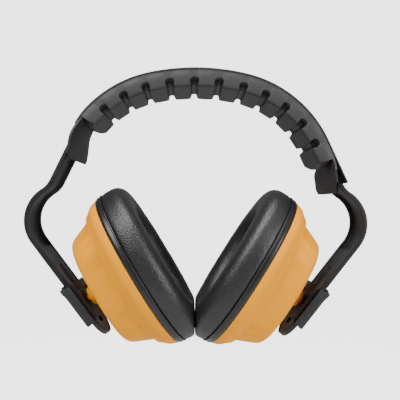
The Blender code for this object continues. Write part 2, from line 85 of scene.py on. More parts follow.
# Flaps, for the left (-1) and the right (1): where each ends, its corner radius, how much it widens
# and over what length, how far its edges take to sink, and how far its middle sinks.
FLAP_ENDS = {-1: -95.3, 1: 112.4}
FLAP_CORNER = {-1: 2.2, 1: 4.5}
FLAP_START_HALF = 18.2
FLAP_WIDENING = {-1: (8.2, 17.0), 1: (6.6, 9.0)}
FLAP_EDGE_RUN = {-1: 24.0, 1: 8.0}
FLAP_SINK = {-1: 2.2, 1: 3.6}
FLAP_OVERLAP, FLAP_DEPTH, FLAP_EDGE_DEPTH = 1.0, 4.3, 1.2
WELD_INSET, WELD_HALF, WELD_DEPTH = 2.2, 0.6, 0.12

# Slider and ball. The clip's and the socket's sizes are in the leg's own frame, from the ball.
BALL_ALONG_LEG, BALL_DEPTH = 43.5, 2.4
CLIP_HALF, CHANNEL_HALF, THUMB_HALF = 14.6, 12.8, 11.4
CLIP_OUTLINE = ((12.3, 2.85, 0.4), (-11.7, 2.85, 0.4), (-11.9, -0.6, 0.4), (-13.2, -0.5, 0.5),
                (-13.8, -1.1, 0.6), (-13.2, -2.4, 1.1), (-11.4, -3.1, 1.4), (-9.2, -2.7, 1.4),
                (-7.2, -2.35, 1.4), (11.4, -2.35, 0.6), (12.7, -2.2, 0.8), (12.9, -1.2, 0.6))
SOCKET_TOP, SOCKET_BOTTOM, SOCKET_HALF = -11.9, 11.8, 12.5
SEAT_RADIUS = 2.7

# Ear cup, in its own frame: level from the ball, half length and half width, and corner rounding.
CUP_ANGLE = 31.5
CUP_CENTRE = 1.0
OVAL_POWER = 2.2
DOME_POWER, DOME_CORNER = 90, 0.83
RING = 112
BOSS = ((12.2, 4.4, 0, 0), (4.6, 4.4, 0, 0.2), (4.6, 2.7, 0, 0.2), (3.5, 2.7, 0, 0.2),
        (3.5, 5.4, 0, 0.8), (8.4, 5.4, 0, 0.8), (8.5, 7.6, 0, 0))
CROWN = ((8.62, 10.5, 0.3), (8.84, 14, 0.6), (9.12, 18, 0.85), (9.5, 22, 1), (9.95, 26, 1))
CROWN_WIDTH = 0.78
DOME = ((10.3, 29, 22.6, 0), (10.8, 32.8, 25.9, 1.3), (12.6, 34.2, 27.2, 1.0), (25.5, 39.6, 32.3, 0.7))
RIM = ((25.6, 39.9, 32.5, 0), (25.5, 41.6, 34.0, 0.6), (27.6, 43.1, 35.4, 1.5), (30.8, 45.9, 38.2, 2.2),
       (35.0, 47.0, 39.2, 0.5), (35.0, 44.9, 37.1, 0.2), (31.5, 43.6, 35.8, 0))
INSIDE = ((28.2, 37.8, 30.4), (14.2, 32.0, 24.9), (12.8, 29.6, 22.8), (12.2, 22, 17))
PLATE_RING = ((36.3, 29.0, 21.0, 0), (36.3, 44.3, 36.5, 0.2), (35.3, 44.5, 36.7, 0.2),
              (35.3, 47.1, 39.3, 0.3), (36.4, 47.7, 39.9, 0.5), (38.2, 47.5, 39.7, 0.15),
              (38.4, 48.1, 40.2, 0.3), (39.0, 48.0, 40.1, 0.3), (39.0, 29.0, 21.0, 0.3),
              (36.3, 29.0, 21.0, 0))
LINER = ((13.3, 27.5, 21.0, 0), (15.0, 30.9, 23.8, 0.6), (27.0, 36.2, 28.8, 1), (35.6, 36.6, 29.0, 1.2),
         (35.8, 30.5, 22.6, 1.8), (25.0, 28.0, 20.4, 2.0), (22.5, 24.0, 16.6, 3.0), (22.3, 12.0, 8.5, 0))
LINER_RING = 72

# Cushion: its half length and half width, and its section as (how far in from there, level).
CUSHION = (48.0, 40.0)
CUSHION_RING = 160
CUSHION_LINE = ((2.2, 38.95), (0.8, 39.1), (0.15, 39.9), (-0.1, 41.6), (-0.1, 44.0), (0.0, 46.4),
                (0.6, 48.6), (2.1, 50.7), (4.6, 52.2), (8.0, 52.9), (12.0, 52.9), (14.6, 52.4),
                (17.0, 51.0), (18.8, 49.0), (20.0, 46.2), (20.7, 43.2), (21.0, 41.0), (20.6, 39.6),
                (19.4, 39.1))
CREST_INSET = 10.5
SEAM_LEVEL, SEAM_REACH = 39.6, 2.6
SLOW_SWELL, FINE_SWELL = 0.22, 0.10
PUCKERS, PUCKER_DEPTH = 46, 0.16
CONTACT_GAP, CONTACT_SOFTNESS = 0.1, 0.8


def smooth(t):
    t = min(1.0, max(0.0, t))
    return t * t * (3 - 2 * t)


# ---------------------------------------------------------------- mesh helpers

def finish_mesh(name, build, sharp=35):
    bmesh.ops.recalc_face_normals(build, faces=build.faces)
    mesh = bpy.data.meshes.new(name)
    build.to_mesh(mesh)
    build.free()
    mesh.shade_smooth()
    mesh.set_sharp_from_angle(angle=math.radians(sharp))
    return mesh


def loft(name, rings, closed=False, sharp=35):
    """A solid through rings of equal count: capped at both ends, or joined from last to first."""
    build = bmesh.new()
    rows = [[build.verts.new(p) for p in ring] for ring in rings]
    spans = list(zip(rows, rows[1:]))
    if closed:
        spans.append((rows[-1], rows[0]))
    for low, high in spans:
        for i in range(len(low)):
            j = (i + 1) % len(low)
            build.faces.new((low[i], low[j], high[j], high[i]))
    if not closed:
        build.faces.new(rows[0])
        build.faces.new(rows[-1])
    return finish_mesh(name, build, sharp)


def piece(name, mesh, material, body, stands_for=()):
    """One named piece of the visual model, on a body, in place of the CAD nodes it stands for."""
    obj = bpy.data.objects.new(name, mesh)
    bpy.context.scene.collection.objects.link(obj)
    mesh.materials.append(material)
    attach(obj, body)
    if stands_for:
        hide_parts(*stands_for)
    return obj


def helper(name, mesh, place=None):
    """An object that is only there to be cut or joined."""
    obj = bpy.data.objects.new(name, mesh)
    bpy.context.scene.collection.objects.link(obj)
    if place is not None:
        obj.matrix_world = place
    return obj


def combined(obj, tools, operation="DIFFERENCE"):
    """The object's mesh with every tool cut from it or joined to it; the tools are removed."""
    for tool in tools:
        modifier = obj.modifiers.new("cut", "BOOLEAN")
        modifier.operation = operation
        modifier.object = tool
        modifier.solver = "EXACT"
    graph = bpy.context.evaluated_depsgraph_get()
    made = bpy.data.meshes.new_from_object(obj.evaluated_get(graph))
    obj.modifiers.clear()
    obj.data = made
    for tool in tools:
        bpy.data.objects.remove(tool, do_unlink=True)


def apply_modifiers(obj, sharp=35):
    """Bakes the object's modifiers into its mesh, smooth apart from edges sharper than that many degrees."""
    graph = bpy.context.evaluated_depsgraph_get()
    made = bpy.data.meshes.new_from_object(obj.evaluated_get(graph))
    obj.modifiers.clear()
    obj.data = made
    made.shade_smooth()
    made.set_sharp_from_angle(angle=math.radians(sharp))


def bevelled(obj, width, segments, angle=50):
    modifier = obj.modifiers.new("edges", "BEVEL")
    modifier.width = width * MM
    modifier.segments = segments
    modifier.limit_method = "ANGLE"
    modifier.angle_limit = math.radians(angle)
    apply_modifiers(obj)


def detached(obj, sharp=None):
    """The object's mesh with no materials, and the object removed."""
    mesh = obj.data
    mesh.materials.clear()
    bpy.data.objects.remove(obj, do_unlink=True)
    if sharp is not None:
        mesh.shade_smooth()
        mesh.set_sharp_from_angle(angle=math.radians(sharp))
    return mesh


def prism(name, outline, half):
    """A flat outline in the XY plane, in millimetres, made a solid that reaches half each way along Z."""
    build = bmesh.new()
    rows = [[build.verts.new((x * MM, y * MM, z * MM)) for x, y in outline] for z in (-half, half)]
    for i in range(len(outline)):
        j = (i + 1) % len(outline)
        build.faces.new((rows[0][i], rows[0][j], rows[1][j], rows[1][i]))
    build.faces.new(rows[0])
    build.faces.new(rows[1])
    return finish_mesh(name, build)


def block(name, low, high):
    """A box between two corners."""
    (x0, y0, z0), (x1, y1, z1) = low, high
    mesh = prism(name, [(x0, y0), (x1, y0), (x1, y1), (x0, y1)], (z1 - z0) / 2)
    mesh.transform(Matrix.Translation((0, 0, (z0 + z1) / 2 * MM)))
    return mesh


def corner_curve(before, here, after, r, steps):
    """A curve in place of a corner, which starts r before it and ends r after it."""
    back, on = before - here, after - here
    start = here + back.normalized() * min(r, back.length / 2)
    end = here + on.normalized() * min(r, on.length / 2)
    shares = [k / steps for k in range(steps + 1)]
    return [start * (1 - t) ** 2 + here * 2 * t * (1 - t) + end * t ** 2 for t in shares]


def rounded(corners, steps=3):
    """A closed outline with each corner (x, y, r) replaced by a curve that starts r from it."""
    points = []
    count = len(corners)
    for i, (x, y, r) in enumerate(corners):
        if r == 0:
            points.append((x, y))
            continue
        before, after = Vector(corners[i - 1][:2]), Vector(corners[(i + 1) % count][:2])
        points += [tuple(p) for p in corner_curve(before, Vector((x, y)), after, r, steps)]
    return points


def softened(rows, steps=4):
    """A run of ring sizes (level, along, across, rounding) with its corners rounded."""
    made = []
    for i, (*sizes, r) in enumerate(rows):
        here = Vector(sizes)
        if r == 0 or i in (0, len(rows) - 1):
            made.append(tuple(here))
            continue
        before, after = Vector(rows[i - 1][:3]), Vector(rows[i + 1][:3])
        made += [tuple(p) for p in corner_curve(before, here, after, r, steps)]
    return made


# ---------------------------------------------------------------- the band's line

FRAMES = {}


def band_frame(along):
    """Point on the outer line, the direction outwards along it and the direction in through the band."""
    key = round(along, 3)
    if key in FRAMES:
        return FRAMES[key]
    side = -1 if along < 0 else 1
    left = abs(along)
    x, z, heading = 0.0, BAND_TOP, 0.0
    for length, turn in BAND_RUNS:
        run = min(left, length)
        bend = math.radians(turn) * run / length
        chord = run if bend == 0 else run * math.sin(bend / 2) / (bend / 2)
        x += chord * math.cos(heading + bend / 2)
        z -= chord * math.sin(heading + bend / 2)
        heading += bend
        left -= run
    made = (Vector((side * x, 0, z)), Vector((side * math.cos(heading), 0, -math.sin(heading))),
            Vector((-side * math.sin(heading), 0, -math.cos(heading))))
    FRAMES[key] = made
    return made


def at(along, across, depth):
    """A point by its place along the band, across it and in through it."""
    point, _, inwards = band_frame(along)
    return (point + inwards * depth + Vector((0, across, 0))) * MM


LEG_START = sum(length for length, _ in BAND_RUNS) - LEG_LENGTH


def leg_frame(side):
    """At the ball, on the leg's outer face: X down the leg, Z in towards the head."""
    point, down, inwards = band_frame(side * (LEG_START + BALL_ALONG_LEG))
    turn = Matrix((down, inwards.cross(down), inwards)).transposed().to_4x4()
    return Matrix.Translation(point * MM) @ turn


def cup_frame(side):
    """At the ball's centre: X down the cup, Z in towards the ear."""
    angle = math.radians(CUP_ANGLE)
    down = Vector((-side * math.sin(angle), 0, -math.cos(angle)))
    inwards = Vector((-side * math.cos(angle), 0, math.sin(angle)))
    turn = Matrix((down, inwards.cross(down), inwards)).transposed().to_4x4()
    return Matrix.Translation(leg_frame(side) @ Vector((0, 0, BALL_DEPTH * MM))) @ turn


# ---------------------------------------------------------------- materials

def node_material(name, colour, roughness, specular=0.5, sheen=0.0):
    made = bpy.data.materials.new(name)
    made.use_nodes = True
    tree = made.node_tree
    shader = tree.nodes["Principled BSDF"]
    shader.inputs["Base Color"].default_value = (*colour, 1)
    shader.inputs["Roughness"].default_value = roughness
    shader.inputs["Specular IOR Level"].default_value = specular
    shader.inputs["Sheen Weight"].default_value = sheen
    return made, tree, shader


def add(tree, kind, **settings):
    node = tree.nodes.new(kind)
    for key, value in settings.items():
        if key in node.inputs:
            node.inputs[key].default_value = value
        else:
            setattr(node, key, value)
    return node


def noise_at(tree, scale, detail=3.0, rough=0.55):
    where = add(tree, "ShaderNodeTexCoord")
    found = add(tree, "ShaderNodeTexNoise", Scale=scale, Detail=detail, Roughness=rough)
    tree.links.new(where.outputs["Object"], found.inputs["Vector"])
    return found.outputs["Fac"]


def cells_at(tree, scale, feature="F1"):
    where = add(tree, "ShaderNodeTexCoord")
    found = add(tree, "ShaderNodeTexVoronoi", feature=feature, Scale=scale)
    tree.links.new(where.outputs["Object"], found.inputs["Vector"])
    return found.outputs["Distance"]


def ranged(tree, value, low, high, to_low, to_high):
    node = add(tree, "ShaderNodeMapRange")
    for key, number in (("From Min", low), ("From Max", high), ("To Min", to_low), ("To Max", to_high)):
        node.inputs[key].default_value = number
    tree.links.new(value, node.inputs["Value"])
    return node.outputs["Result"]


def colour_mix(tree, factor, first, second):
    """A mix of two colours by a factor; each colour is three numbers or a socket."""
    node = add(tree, "ShaderNodeMix", data_type="RGBA")
    tree.links.new(factor, node.inputs["Factor"])
    sockets = [s for s in node.inputs if s.type == "RGBA"]
    for socket, colour in zip(sockets, (first, second)):
        if isinstance(colour, tuple):
            socket.default_value = (*colour, 1)
        else:
            tree.links.new(colour, socket)
    return [s for s in node.outputs if s.type == "RGBA"][0]


def arithmetic(tree, a, b, operation="MULTIPLY"):
    """One math node on a socket and either a second socket or a number."""
    node = add(tree, "ShaderNodeMath", operation=operation)
    tree.links.new(a, node.inputs[0])
    if isinstance(b, float):
        node.inputs[1].default_value = b
    else:
        tree.links.new(b, node.inputs[1])
    return node.outputs[0]


def edge_highlight_mask(tree):
    """From 0 on flat faces to 1 on outward edges, where the painted edge highlight goes."""
    where = add(tree, "ShaderNodeNewGeometry")
    return ranged(tree, where.outputs["Pointiness"], 0.52, 0.62, 0.0, 1.0)


def bump_from(tree, shader, height, strength, distance):
    node = add(tree, "ShaderNodeBump", Strength=strength, Distance=distance * MM)
    tree.links.new(height, node.inputs["Height"])
    tree.links.new(node.outputs["Normal"], shader.inputs["Normal"])


def scaled(colour, k):
    return tuple(min(1.0, c * k) for c in colour)


def moulded_plastic(name, colour, roughness, grain, bump, edge, specular, vary=0.1):
    """Injection-moulded plastic: a fine spark-eroded grain, slow colour drift and paler edges that are a
    painted edge highlight.
    """
    made, tree, shader = node_material(name, colour, roughness, specular)
    slow = noise_at(tree, 45.0, 3.0)
    drift = colour_mix(tree, slow, scaled(colour, 1 - vary), scaled(colour, 1 + vary))
    # Outward edges are lightened by the factor edge and broken up by noise: a painted edge highlight.
    edge_highlight = arithmetic(tree, edge_highlight_mask(tree), noise_at(tree, 350.0, 4.0))
    edge_highlighted = colour_mix(tree, edge_highlight, drift, scaled(colour, edge))
    tree.links.new(edge_highlighted, shader.inputs["Base Color"])
    rough = ranged(tree, noise_at(tree, 120.0, 4.0), 0.3, 0.7, roughness - 0.05, roughness + 0.06)
    tree.links.new(rough, shader.inputs["Roughness"])
    bump_from(tree, shader, noise_at(tree, grain, 2.0), bump, 0.06)
    return made


def vinyl(name, colour, roughness, cell, bump, specular):
    """Grained vinyl: pebbled cells of about a millimetre with fine pores, and slow colour drift."""
    made, tree, shader = node_material(name, colour, roughness, specular)
    cells = cells_at(tree, cell, "SMOOTH_F1")
    pores = noise_at(tree, cell * 2.3, 3.0)
    height = arithmetic(tree, arithmetic(tree, cells, -1.0), arithmetic(tree, pores, 0.6), "ADD")
    tint = colour_mix(tree, noise_at(tree, 60.0, 4.0), scaled(colour, 0.82), scaled(colour, 1.18))
    tree.links.new(tint, shader.inputs["Base Color"])
    rough = ranged(tree, pores, 0.3, 0.7, roughness - 0.07, roughness + 0.07)
    tree.links.new(rough, shader.inputs["Roughness"])
    bump_from(tree, shader, height, bump, 0.25)
    return made


def foam(name, colour):
    """Open-cell foam: dense small pores, each darker towards its hollow, which is painted shade."""
    made, tree, shader = node_material(name, colour, 0.95, specular=0.1, sheen=0.15)
    pores = cells_at(tree, 1600.0)
    tint = colour_mix(tree, pores, scaled(colour, 0.35), scaled(colour, 1.5))
    tree.links.new(tint, shader.inputs["Base Color"])
    bump_from(tree, shader, pores, 0.8, 0.4)
    return made


ORANGE_YELLOW = (1.0, 0.37, 0.0)
YELLOW = moulded_plastic("yellow_plastic", ORANGE_YELLOW, 0.45, grain=2600.0, bump=0.04, edge=1.05,
                         vary=0.02, specular=0.12)
BLACK = moulded_plastic("black_plastic", (0.013, 0.013, 0.014), 0.38, grain=1800.0, bump=0.2,
                        edge=2.4, specular=0.4)
PLATE = moulded_plastic("seal_plate_plastic", (0.016, 0.016, 0.017), 0.30, grain=1800.0, bump=0.06,
                        edge=1.8, specular=0.45)
CLIP = moulded_plastic("clip_plastic", (0.024, 0.024, 0.025), 0.50, grain=1400.0, bump=0.3,
                       edge=2.4, specular=0.4)
SOCKET = moulded_plastic("socket_plastic", (0.010, 0.010, 0.011), 0.45, grain=1400.0, bump=0.3,
                         edge=2.2, specular=0.35)
SLEEVE = vinyl("sleeve_vinyl", (0.034, 0.034, 0.035), 0.50, cell=1300.0, bump=0.35, specular=0.45)
LINING = vinyl("flap_vinyl", (0.018, 0.018, 0.019), 0.50, cell=1700.0, bump=0.25, specular=0.35)
LEATHER = vinyl("cushion_vinyl", (0.016, 0.016, 0.017), 0.38, cell=1100.0, bump=0.7, specular=0.5)
FOAM = foam("dark_foam", (0.010, 0.010, 0.011))
STUD = moulded_plastic("stud_plastic", ORANGE_YELLOW, 0.36, grain=2600.0, bump=0.05, edge=1.1,
                       vary=0.03, specular=0.3)


# ---------------------------------------------------------------- headband

def leg_floor(leg):
    """Depth of the inner face between the rails, which rises nearly to the rails' tops on the leg."""
    return BAND_FLOOR + (BAND_THICK - LEG_RECESS - BAND_FLOOR) * smooth((leg - 2.0) / 5.0)


def band_ring(along):
    leg = abs(along) - LEG_START
    half = BAND_HALF
    past = leg - (LEG_LENGTH - TIP_ROUNDING)
    if past > 0:
        half = max(TIP_HALF, math.sqrt(max(0.0, half ** 2 - past ** 2)))
    rail = min(RAIL, half * 0.4)
    floor, top, rib = leg_floor(leg), BAND_THICK, half - rail
    r, soft = min(0.6, half * 0.2), min(0.5, rail * 0.3)
    inner = min(0.35, (top - floor) * 0.5)
    corners = [(-half, 0, r), (half, 0, r), (half, top, soft), (rib, top, soft), (rib, floor, inner),
               (-rib, floor, inner), (-rib, top, soft), (-half, top, soft)]
    return [at(along, y, d) for y, d in rounded(corners)]


def spread(start, end, step):
    """Even places from start to end, no more than a step apart."""
    count = max(1, math.ceil(abs(end - start) / step - 1e-9))
    return [start + (end - start) * i / count for i in range(count + 1)]


def band_stations():
    marks = [0.0]
    for length, turn in BAND_RUNS[:-1]:
        step = length if turn == 0 else min(2.5, length / math.ceil(abs(turn) / 4))
        marks += spread(marks[-1], marks[-1] + length, step)[1:]
    leg = spread(0, 8, 1.0)[1:] + spread(8, LEG_LENGTH - TIP_ROUNDING, 8)[1:]
    leg += [LEG_LENGTH - TIP_ROUNDING + TIP_ROUNDING * math.sin(math.radians(a)) for a in range(6, 85, 6)]
    marks += [LEG_START + m for m in leg]
    return [-m for m in reversed(marks[1:])] + marks


def slot_outline():
    """The slot seen along the leg: round ends, and fine teeth on both long sides."""
    start, end, width = SLOT_START - BALL_ALONG_LEG, SLOT_END - BALL_ALONG_LEG, SLOT_WIDTH / 2
    points = []
    for centre, first, sign in ((end - width, -90, 1), (start + width, 90, -1)):
        for i in range(13):
            angle = math.radians(first + 180 * i / 12)
            points.append((centre + width * math.cos(angle), width * math.sin(angle)))
        far = start + width if sign > 0 else end - width
        x = centre - sign * 1.5
        while (x - far) * sign > 1.5 + TOOTH_PITCH:
            points += [(x, sign * width), (x - sign * 0.45, sign * (width - TOOTH_DEPTH)),
                       (x - sign * 0.95, sign * width)]
            x -= sign * TOOTH_PITCH
    return points


def make_headband():
    band = helper("band", loft("band", [band_ring(s) for s in band_stations()]))
    cuts = [helper("slot", prism("slot", slot_outline(), 6), leg_frame(side)) for side in (-1, 1)]
    combined(band, cuts)
    piece("band_moulding", detached(band, 32), BLACK, "headband", ["headband"])


# ---------------------------------------------------------------- sleeve

def pad_paths():
    """Half of the pad's section, from the top of its side to the middle of its underside, as
    (outer point, point in a groove, half width of the groove there)."""
    rows = []
    for d in (PAD_TOP, 0.6, 1.6, 2.6, 3.4, 3.9, 4.3, 4.7, 5.2, 5.8, GROOVE_CENTRE, 7.1, 7.8, 8.3):
        y = PAD_HALF + 0.25 * math.sin(math.pi * (d + 0.2) / 8.8)
        above = min(0.0, d - GROOVE_CENTRE)
        half = math.sqrt(max(0.0, GROOVE_RADIUS ** 2 - above ** 2)) if d > 4.2 else 0.0
        half -= 0.4 * max(0.0, (d - GROOVE_CENTRE) / 2.0)
        sunk = smooth((d - 3.8) / 1.0)
        groove_y = y - GROOVE_DEPTH * sunk - 0.4 * max(0.0, d - GROOVE_CENTRE)
        rows.append(((y, d), (groove_y, d - 0.27 * max(0.0, d - 4.6)), half))
    rows.append(((PAD_HALF - 0.45, 8.62), (12.4, GROOVE_FLOOR), 1.75))
    edge = 17.3
    for y in (edge, 16.4, 15.2, 13.5, 11.0, 8.0, 4.0, 0.0):
        rows.append(((y, 9.0 + 0.15 * (1 - (y / edge) ** 2)), (y * 12.0 / edge, GROOVE_FLOOR), 1.7))
    return rows


PAD_ROWS = pad_paths()


def groove_offset(along):
    """Signed distance along the band from the middle of the nearest groove."""
    index = round((along - GROOVE_MIDDLE) / GROOVE_PITCH)
    index = max(-(GROOVES // 2), min(GROOVES // 2, index))
    return along - GROOVE_MIDDLE - index * GROOVE_PITCH


def pad_ring(along, close=1.0):
    """The skin's section: its outer face with the grooves in it, and its inner face a skin behind.
    Towards the pad's ends, close falls to 0 and draws the underside up to the band."""
    ds = abs(groove_offset(along))
    crown = min(1.0, max(0.0, (ds - 2.0) / (GROOVE_PITCH / 2 - 2.0)))
    crown = BLOCK_CROWN * math.sqrt(1 - (1 - crown) ** 2)
    near_start = smooth((PAD_START + PAD_END_RUN - along) / PAD_END_RUN)
    near_end = max(near_start, smooth((along - PAD_END + PAD_END_RUN) / PAD_END_RUN))
    outer, inner = [], []
    for (y, d), (gy, gd), half in PAD_ROWS:
        edge = min(0.75, max(0.05, half))
        g = smooth((half + edge - ds) / (2 * edge)) if half > 0.2 else 0.0
        under = d > 8.5
        y0, d0 = y + (0 if under else crown * smooth(d / 3)), d + (crown if under else 0)
        py, pd = y0 + (gy - y0) * g, d0 + (gd - d0) * g
        qy, qd = py - SKIN * (1 - 0.3 * g) * (y / PAD_HALF), pd - (SKIN if under else 0.0)
        if qd > SKIN_CEILING:
            qd = SKIN_CEILING + (qd - SKIN_CEILING) * close * (0.98 if close < 1 else 1)
        if pd > BAND_CLEAR:
            pd = BAND_CLEAR + (pd - BAND_CLEAR) * close
        back = near_end * PAD_END_BOW * (py / PAD_HALF) ** 2 * (1 if along > 0 else -1)
        outer.append((py, pd, back))
        inner.append((min(qy, py), min(qd, pd - 0.1) if under or close < 1 else qd, back))
    ring = []
    for rows, sign in ((outer, 1), (outer[:-1][::-1], -1), (inner[:-1], -1), (inner[::-1], 1)):
        ring += [at(along - back, sign * y, d) for y, d, back in rows]
    return ring


def pad_stations():
    steps = (0.0, 0.35, 0.7, 1.0, 1.25, 1.5, 1.75, 2.0, 2.25, 2.5, 2.8, 3.2, 3.8, 4.8, 6.0)
    marks = []
    for k in range(-(GROOVES // 2), GROOVES // 2 + 1):
        middle = GROOVE_MIDDLE + k * GROOVE_PITCH
        marks += [middle - s for s in steps] + [middle + s for s in steps[1:]]
        marks.append(middle + GROOVE_PITCH / 2)
    marks = [m for m in marks if m < PAD_END - 5.5]
    marks += spread(PAD_START, min(marks), 1.5)[:-1] + spread(max(marks), PAD_END, 1.5)[1:]
    return sorted(marks)


def make_pad():
    rings = [pad_ring(s) for s in pad_stations()]
    for angle in range(12, 91, 13):
        k, reach = math.cos(math.radians(angle)), PAD_END_REACH * math.sin(math.radians(angle))
        rings.insert(0, pad_ring(PAD_START - reach, max(0.02, k)))
        rings.append(pad_ring(PAD_END + reach, max(0.02, k)))
    mesh = loft("pad", rings, sharp=50)
    stands_for = ["sleeve_pad_skin", "sleeve_foam"]
    pad = piece("sleeve_pad", mesh, SLEEVE, "headband", stands_for)


def cover_ring(along):
    """The cover's section, a little crowned, which narrows along its tail on the left."""
    half = PAD_HALF + COVER_OVERHANG
    tail = smooth((COVER_START + COVER_TAIL - along) / COVER_TAIL)
    half -= COVER_TAIL_NARROWING * tail
    corners = [(-half, COVER_OUTSIDE, 0.3), (0, COVER_CROWN, 8), (half, COVER_OUTSIDE, 0.3),
               (half, COVER_INSIDE, 0.3), (0, COVER_HOLLOW, 0), (-half, COVER_INSIDE, 0.3)]
    return [at(along, y, d) for y, d in rounded(corners)]


def make_cover():
    rings = [cover_ring(s) for s in spread(COVER_START, COVER_END, 2.0)]
    mesh = loft("sleeve_top", rings, sharp=45)
    piece("sleeve_top", mesh, SLEEVE, "headband", ["sleeve_cover"])


def flap_point(side, t, v, depth_shift, inset):
    """A place on a flap: t runs from the pad to the free end, v across from -1 to 1. A positive depth_shift
    is the inner face, which has a welded line near its edge; inset draws the outline in."""
    start = (PAD_END if side > 0 else -PAD_START) - FLAP_OVERLAP
    end = abs(FLAP_ENDS[side])
    corner = FLAP_CORNER[side]
    wider, over = FLAP_WIDENING[side]
    half = FLAP_START_HALF + wider * smooth(t * (end - start) / over) - inset
    y = v * half
    nip = max(0.0, abs(y) - (half - corner)) / corner
    last = end - inset * 0.5 - corner * (1 - math.sqrt(max(0.0, 1 - nip ** 2)))
    along = start + (last - start) * t
    past = along - start
    middle = FLAP_DEPTH + FLAP_SINK[side] * smooth(past / (end - start)) * past / (end - start)
    edge = FLAP_EDGE_DEPTH + (middle - FLAP_EDGE_DEPTH) * smooth(past / FLAP_EDGE_RUN[side])
    depth = middle + (edge - middle) * abs(v) ** 3
    depth += 0.5 * (1 - v * v) * smooth(past / 6) - 0.35
    if depth_shift > 0:
        from_weld = abs(abs(y) - (half - WELD_INSET))
        depth -= WELD_DEPTH * max(0.0, 1 - from_weld / WELD_HALF)
    return at(side * along, y, depth + depth_shift)


def flap_ring(side, t, front, back, inset):
    near_edge = [0.78, 0.84, 0.88, 0.91, 0.935, 0.96, 0.985, 1]
    across = [-v for v in reversed(near_edge)] + [i / 10 for i in range(-7, 8)] + near_edge
    ring = [flap_point(side, t, v, front, inset) for v in across]
    return ring + [flap_point(side, t, v, back, inset) for v in reversed(across)]


def make_flap(name, side):
    rings = [flap_ring(side, t, 0.35, -0.75, 0) for t in spread(0, 1, 0.05)]
    rings.append(flap_ring(side, 1.0, 0.1, -0.45, 0.7))
    rings += [flap_ring(side, t, 0.0, -0.3, 0.9) for t in (0.97, 0.9, 0.8)]
    piece(f"{name}_flap", loft(f"{name}_flap", rings, sharp=50), LINING, "headband")


# ---------------------------------------------------------------- slider

def make_clip(name, side):
    """The channel round the leg, with a rolled thumb lip at its upper end."""
    mesh = prism(f"{name}_clip", rounded(CLIP_OUTLINE, 4), CLIP_HALF)
    mesh.transform(Matrix.Rotation(math.radians(90), 4, "X"))
    clip = helper(f"{name}_clip_body", mesh)
    tools = [block("channel", (-30, -CHANNEL_HALF, -0.3), (30, CHANNEL_HALF, 12)),
             block("thumb", (-30, THUMB_HALF, -20), (-12.6, 40, 20)),
             block("thumb_far", (-30, -40, -20), (-12.6, -THUMB_HALF, 20))]
    combined(clip, [helper(tool.name, tool) for tool in tools])
    clip.data.transform(leg_frame(side))
    bevelled(clip, 0.4, 3)
    stands_for = [f"{name}_slider_clip"]
    piece(f"{name}_clip", detached(clip), CLIP, f"{name}_slider", stands_for)


def cone(name, base, top, low, high, count=64):
    build = bmesh.new()
    place = Matrix.Translation((0, 0, (low + high) / 2 * MM))
    bmesh.ops.create_cone(build, cap_ends=True, segments=count, radius1=base * MM, radius2=top * MM,
                          depth=(high - low) * MM, matrix=place)
    return finish_mesh(name, build)


def make_socket(name, side):
    """The plate on the leg's inner face: a step above the ball, side ribs, two lugs and the ball's seat."""
    cup = cup_frame(side)
    top, bottom, half = SOCKET_TOP, SOCKET_BOTTOM, SOCKET_HALF
    parts = [block("step", (top, -half, 3.6), (-6.9, half, 5.4)),
             block("rib", (-8, 11.2, 3.6), (bottom, half, 4.9)),
             block("far_rib", (-8, -half, 3.6), (bottom, -11.2, 4.9)),
             block("lug", (-9.2, -3.2, 1.1), (-5.6, 3.2, 3.8)),
             block("low_lug", (5.6, -3.2, 1.1), (9.2, 3.2, 3.8))]
    plate = helper("plate", block("plate", (top, -half, 3.3), (bottom, half, 4.2)))
    combined(plate, [helper(part.name, part) for part in parts], "UNION")
    plate.data.transform(leg_frame(side))
    bevelled(plate, 0.25, 2)
    combined(plate, [helper("tower", cone("tower", 6.6, 4.3, 1.2, 1.9), cup)], "UNION")
    seat = bmesh.new()
    bmesh.ops.create_uvsphere(seat, u_segments=48, v_segments=24, radius=SEAT_RADIUS * MM)
    mouth = cone("mouth", 2.24, 2.47, 0, 3.8, 48)
    combined(plate, [helper("seat", finish_mesh("seat", seat), cup), helper("mouth", mouth, cup)])
    stands_for = [f"{name}_socket_plate"]
    piece(f"{name}_socket", detached(plate, 35), SOCKET, f"{name}_slider", stands_for)


# ---------------------------------------------------------------- ear cup

def oval_radius(along, across, angle):
    a, b = abs(math.cos(angle)) / along, abs(math.sin(angle)) / across
    return (a ** OVAL_POWER + b ** OVAL_POWER) ** (-1 / OVAL_POWER)


def arc_radius(peak, corner, rise, reach):
    """Radius of an arc that is highest at peak and passes through the corner, in a direction given by
    its cosine and sine."""
    sagitta = max(0.01, peak - corner)
    radius = (corner ** 2 + sagitta ** 2) / (2 * sagitta)
    centre = peak - radius
    return rise * centre + math.sqrt(max(0.0, radius ** 2 - (reach * centre) ** 2))


def dome_radius(along, across, angle):
    """Two long sides and two rounder ends, each an arc, that meet at soft corners."""
    corner, x, y = DOME_CORNER * across, abs(math.cos(angle)), abs(math.sin(angle))
    end, side = arc_radius(along, corner, x, y), arc_radius(across, corner, y, x)
    return (end ** -DOME_POWER + side ** -DOME_POWER) ** (-1 / DOME_POWER)


def round_radius(radius, *_):
    return radius


def ring_of(level, along, across, shape, centre=CUP_CENTRE, count=RING):
    points = []
    for i in range(count):
        angle = 2 * math.pi * i / count
        r = shape(along, across, angle)
        points.append(Vector((centre + r * math.cos(angle), r * math.sin(angle), level)) * MM)
    return points


def mixed(one, other, t):
    """A shape a share t of the way from one shape to another."""
    return lambda *sizes: one(*sizes) * (1 - t) + other(*sizes) * t


